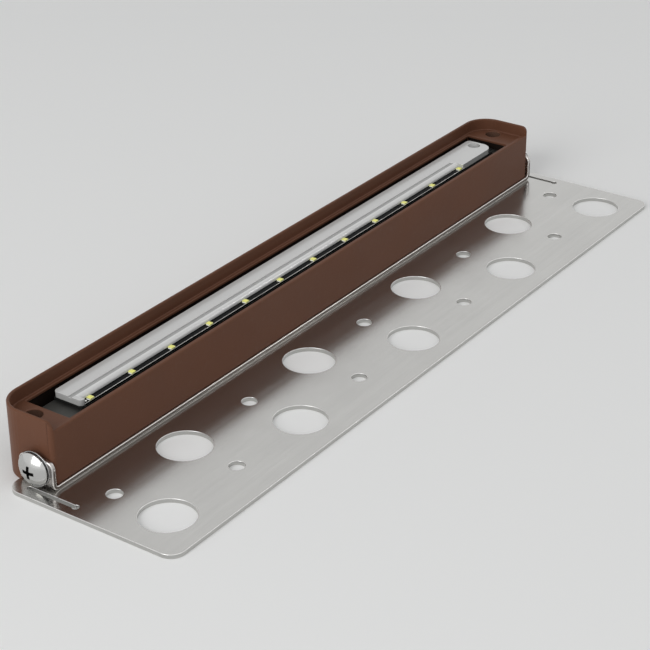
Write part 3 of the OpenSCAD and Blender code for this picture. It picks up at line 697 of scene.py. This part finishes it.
def addJoints():
    low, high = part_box("led_board")
    work = bmesh.new()
    for along, back, radius in zip(jointRow["fromEnd"], jointRow["fromFront"], jointRow["radius"]):
        place = Vector((low[0] + along * mm, low[1] + back * mm, high[2]))
        loops = []
        for ring in range(jointRow["rings"]):
            turn = ring / jointRow["rings"] * math.pi / 2
            reach = radius * mm * math.cos(turn) ** jointRow["reachPower"]
            rise = jointRow["height"] * mm * math.sin(turn) ** jointRow["risePower"]
            angles = [2 * math.pi * side / jointRow["sides"] for side in range(jointRow["sides"])]
            loops.append([work.verts.new(place + Vector((reach * math.cos(a), reach * math.sin(a), rise)))
                          for a in angles])
        peak = work.verts.new(place + Vector((0, 0, jointRow["height"] * mm)))
        for lower, upper in zip(loops, loops[1:]):
            for side in range(jointRow["sides"]):
                after = (side + 1) % jointRow["sides"]
                work.faces.new((lower[side], lower[after], upper[after], upper[side])).smooth = True
        for side in range(jointRow["sides"]):
            work.faces.new((loops[-1][side], loops[-1][(side + 1) % jointRow["sides"]], peak)).smooth = True
        work.faces.new(list(reversed(loops[0])))
    bmesh.ops.recalc_face_normals(work, faces=work.faces)
    mesh = bpy.data.meshes.new("boardJoints")
    work.to_mesh(mesh)
    work.free()
    newPiece("boardJoints", mesh, [solderTin])


addJoints()
print("solder joints made")


# Floor, light and camera

studio = {
    "floorSize": 6.0,
    "floorColour": (0.93, 0.93, 0.92),
    "floorRoughness": 0.9,
    "floorDrop": 0.05,  # millimetres below the object, so that no faces coincide
    "keyPower": 16.0,
    "keySize": 1.2,
    "keyPlace": (-1.7, 0.1, 0.9),
    "fillPower": 4.0,
    "fillSize": 1.6,
    "fillPlace": (-0.2, -0.9, 1.6),
    "rimPower": 1.3,
    "rimSize": 0.2,
    "rimPlace": (1.5, -0.95, 1.15),
    "worldStrength": 0.5,
    "worldColour": (0.86, 0.87, 0.88),
    "backdropColour": (0.9, 0.9, 0.9),
}


def addFloor():
    mesh = bpy.data.meshes.new("floor")
    half = studio["floorSize"] / 2
    corners = [(-half, -half, 0), (half, -half, 0), (half, half, 0), (-half, half, 0)]
    mesh.from_pydata(corners, [], [(0, 1, 2, 3)])
    floor = bpy.data.objects.new("floor", mesh)
    bpy.context.scene.collection.objects.link(floor)
    material, tree, shader = newMaterial("paleFloor")
    shader.inputs["Base Color"].default_value = (*studio["floorColour"], 1.0)
    shader.inputs["Roughness"].default_value = studio["floorRoughness"]
    mesh.materials.append(material)
    floor.location.z = -studio["floorDrop"] * mm


def addLamp(name, place, size, power):
    lamp = bpy.data.lights.new(name, "AREA")
    lamp.shape = "SQUARE"
    lamp.size = size
    lamp.energy = power
    holder = bpy.data.objects.new(name, lamp)
    holder.location = place
    holder.rotation_euler = (-Vector(place)).to_track_quat("-Z", "Y").to_euler()
    bpy.context.scene.collection.objects.link(holder)


def addWorld():
    world = bpy.data.worlds.new("paleStudio")
    bpy.context.scene.world = world
    world.use_nodes = True
    tree = world.node_tree
    light = tree.nodes["Background"]
    light.inputs["Color"].default_value = (*studio["worldColour"], 1.0)
    light.inputs["Strength"].default_value = studio["worldStrength"]
    shown = tree.nodes.new("ShaderNodeBackground")
    shown.inputs["Color"].default_value = (*studio["backdropColour"], 1.0)
    rays = tree.nodes.new("ShaderNodeLightPath")
    seen = mathNode(tree, "MAXIMUM", rays.outputs["Is Camera Ray"], rays.outputs["Is Glossy Ray"])
    seen = mathNode(tree, "MAXIMUM", seen, rays.outputs["Is Transmission Ray"])
    mix = tree.nodes.new("ShaderNodeMixShader")
    link(tree, seen, mix.inputs[0])
    link(tree, light.outputs[0], mix.inputs[1])
    link(tree, shown.outputs[0], mix.inputs[2])
    link(tree, mix.outputs[0], tree.nodes["World Output"].inputs["Surface"])


cameraSetup = {
    "place": (-487.28, -331.22, 311.0),  # millimetres
    "forward": (0.72083, 0.51220, -0.46697),
    "right": (0.57600, -0.81741, -0.00744),
    "lens": 102.70,
    "sensor": 36.0,
    "clipStart": 0.01,
}


def addCamera():
    lens = bpy.data.cameras.new("camera")
    lens.lens = cameraSetup["lens"]
    lens.sensor_width = cameraSetup["sensor"]
    lens.sensor_fit = "HORIZONTAL"
    lens.clip_start = cameraSetup["clipStart"]
    camera = bpy.data.objects.new("camera", lens)
    bpy.context.scene.collection.objects.link(camera)
    back = -Vector(cameraSetup["forward"]).normalized()
    right = Vector(cameraSetup["right"]).normalized()
    up = back.cross(right)
    turn = Matrix((right, up, back)).transposed().to_4x4()
    camera.matrix_world = Matrix.Translation(Vector(cameraSetup["place"]) * mm) @ turn
    bpy.context.scene.camera = camera


addFloor()
addLamp("keyLamp", studio["keyPlace"], studio["keySize"], studio["keyPower"])
addLamp("fillLamp", studio["fillPlace"], studio["fillSize"], studio["fillPower"])
addLamp("rimLamp", studio["rimPlace"], studio["rimSize"], studio["rimPower"])
addWorld()
addCamera()
bpy.context.scene.view_settings.view_transform = "Standard"
print("studio and camera set")
